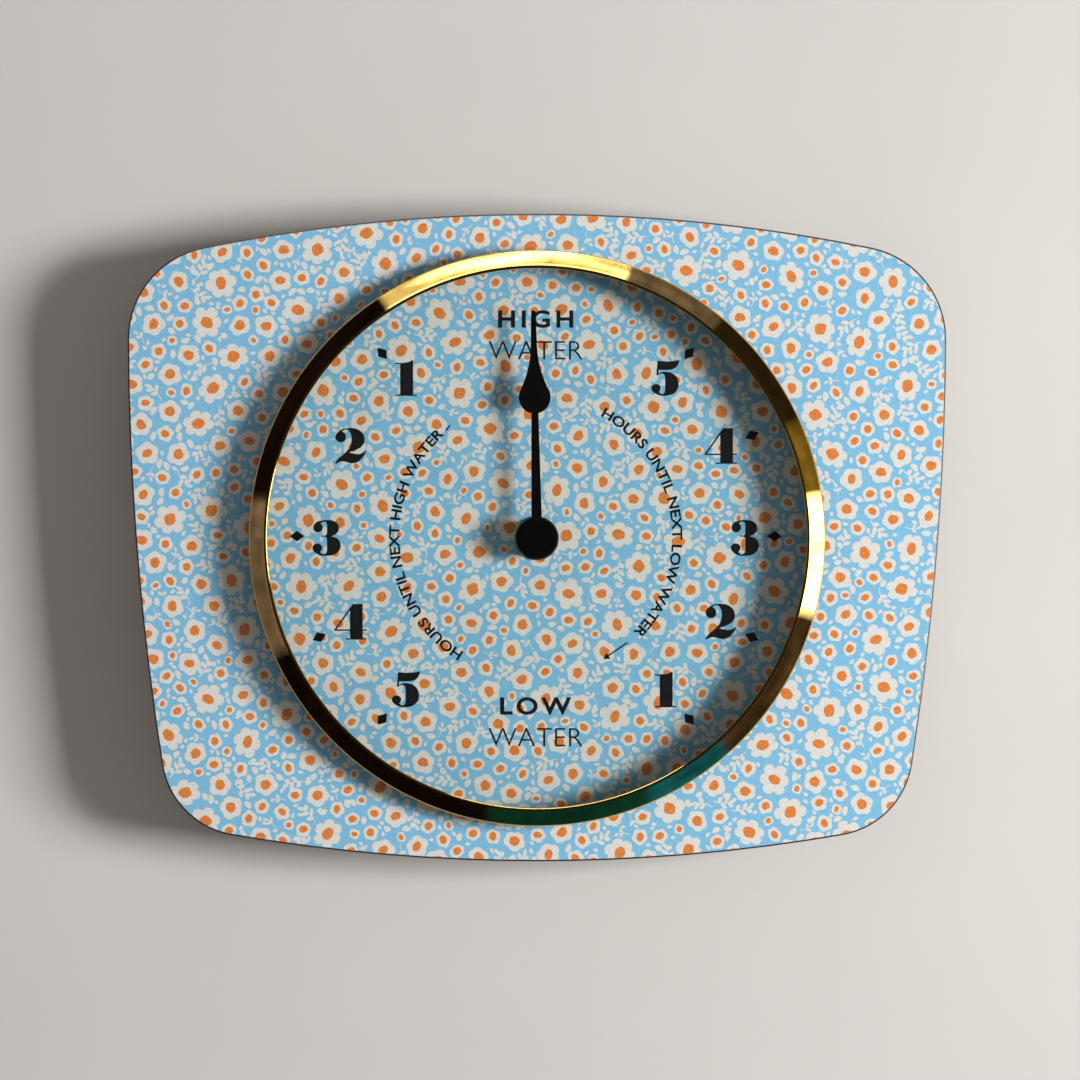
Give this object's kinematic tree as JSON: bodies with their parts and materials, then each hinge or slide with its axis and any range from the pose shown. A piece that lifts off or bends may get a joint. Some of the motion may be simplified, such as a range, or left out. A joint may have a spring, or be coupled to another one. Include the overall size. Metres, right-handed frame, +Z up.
{
  "type": "tide clock",
  "caption": "Wall tide clock: a bowed laminate board with a round brass bezel, domed glass and a single spade hand, turned by a battery tide movement that hangs from a plate on its back.",
  "frame": {"origin": "middle of the hanging hole, halfway through the hanger plate", "axes": "+Z up, +X to the right as seen from the front, +Y into the wall; the dial faces -Y"},
  "size_m": [0.28, 0.0457, 0.2215],
  "materials": {
    "printed_laminate": "satin laminate over a printed sheet",
    "fibreboard": "sawn edge of fibreboard",
    "backing_sheet": "plain brown balancing laminate",
    "polished_brass": "turned and polished, lacquered",
    "clear_glass": "clear, polished",
    "spring_wire": "drawn wire",
    "zinc_steel": "zinc plated",
    "turned_brass": "turned, bare",
    "washer_rubber": "moulded",
    "black_lacquer": "matt black lacquer",
    "white_acetal": "moulded",
    "grey_acetal": "moulded",
    "clutch_steel": "spring steel",
    "magnet": "sintered",
    "soft_iron": "stamped sheet",
    "bobbin_plastic": "moulded",
    "copper_wire": "enamelled copper",
    "circuit_laminate": "pressed laminate",
    "potting": "cured resin",
    "nickel_can": "nickel plated",
    "battery_sleeve": "plain shrunk sleeve with metal ends",
    "case_plastic": "moulded, lightly textured",
    "knob_plastic": "moulded"
  },
  "bodies": {
    "clock_case": {"dial_laminate": "printed_laminate", "core_board": "fibreboard", "back_laminate": "backing_sheet", "bezel_ring": "polished_brass", "glass": "clear_glass", "glass_ring": "spring_wire", "bezel_screws": "zinc_steel", "bezel_washers": "zinc_steel", "threaded_bush": "turned_brass", "fixing_nut": "turned_brass", "brass_washer": "turned_brass", "rubber_washer": "washer_rubber", "gear_plate": "soft_iron", "plate_screws": "zinc_steel", "stator": "soft_iron", "coil_core": "soft_iron", "coil_bobbin": "bobbin_plastic", "coil_winding": "copper_wire", "circuit_board": "circuit_laminate", "control_chip": "potting", "quartz_crystal": "nickel_can", "negative_contact": "nickel_can", "positive_contact": "nickel_can", "movement_case": "case_plastic", "rear_cover": "case_plastic", "cover_screws": "zinc_steel", "hanger_plate": "zinc_steel", "hanger_rivets": "zinc_steel"},
    "hand": {"tide_hand": "black_lacquer", "hand_collet": "turned_brass", "hand_cap": "black_lacquer", "hour_wheel": "white_acetal"},
    "setting": {"motion_wheel": "white_acetal", "setting_knob": "knob_plastic"},
    "cannon": {"cannon_pinion": "grey_acetal", "clutch_spring": "clutch_steel", "clutch_collar": "turned_brass"},
    "centre": {"centre_wheel": "white_acetal"},
    "step": {"step_wheel": "white_acetal"},
    "rotor": {"rotor_pinion": "white_acetal", "rotor_magnet": "magnet"},
    "battery": {"battery": "battery_sleeve"}
  },
  "joints": [
    {"name": "hand_turn", "type": "hinge", "parent": "clock_case", "child": "hand", "pos_m": [0, -0.02777, -0.03491], "axis": [0, 1, 0], "continuous": true},
    {"name": "setting_turn", "type": "hinge", "parent": "clock_case", "child": "setting", "pos_m": [-0.00764, -0.01127, -0.02727], "axis": [0, 1, 0], "continuous": true},
    {"name": "cannon_turn", "type": "hinge", "parent": "clock_case", "child": "cannon", "pos_m": [0, -0.02777, -0.03491], "axis": [0, 1, 0], "continuous": true},
    {"name": "centre_turn", "type": "hinge", "parent": "clock_case", "child": "centre", "pos_m": [0, -0.02777, -0.03491], "axis": [0, 1, 0], "continuous": true},
    {"name": "step_turn", "type": "hinge", "parent": "clock_case", "child": "step", "pos_m": [0.00952, -0.0071, -0.03047], "axis": [0, 1, 0], "continuous": true},
    {"name": "rotor_turn", "type": "hinge", "parent": "clock_case", "child": "rotor", "pos_m": [0.00734, -0.0041, -0.02236], "axis": [0, 1, 0], "continuous": true},
    {"name": "battery_slide", "type": "slide", "parent": "clock_case", "child": "battery", "axis": [0, 1, 0], "range_m": [0, 0.03]}
  ],
  "couplings": [
    {"joint": "setting_turn", "follows": "hand_turn", "ratio": -4},
    {"joint": "cannon_turn", "follows": "hand_turn", "ratio": 12},
    {"joint": "step_turn", "follows": "centre_turn", "ratio": -6},
    {"joint": "rotor_turn", "follows": "centre_turn", "ratio": 30}
  ]
}
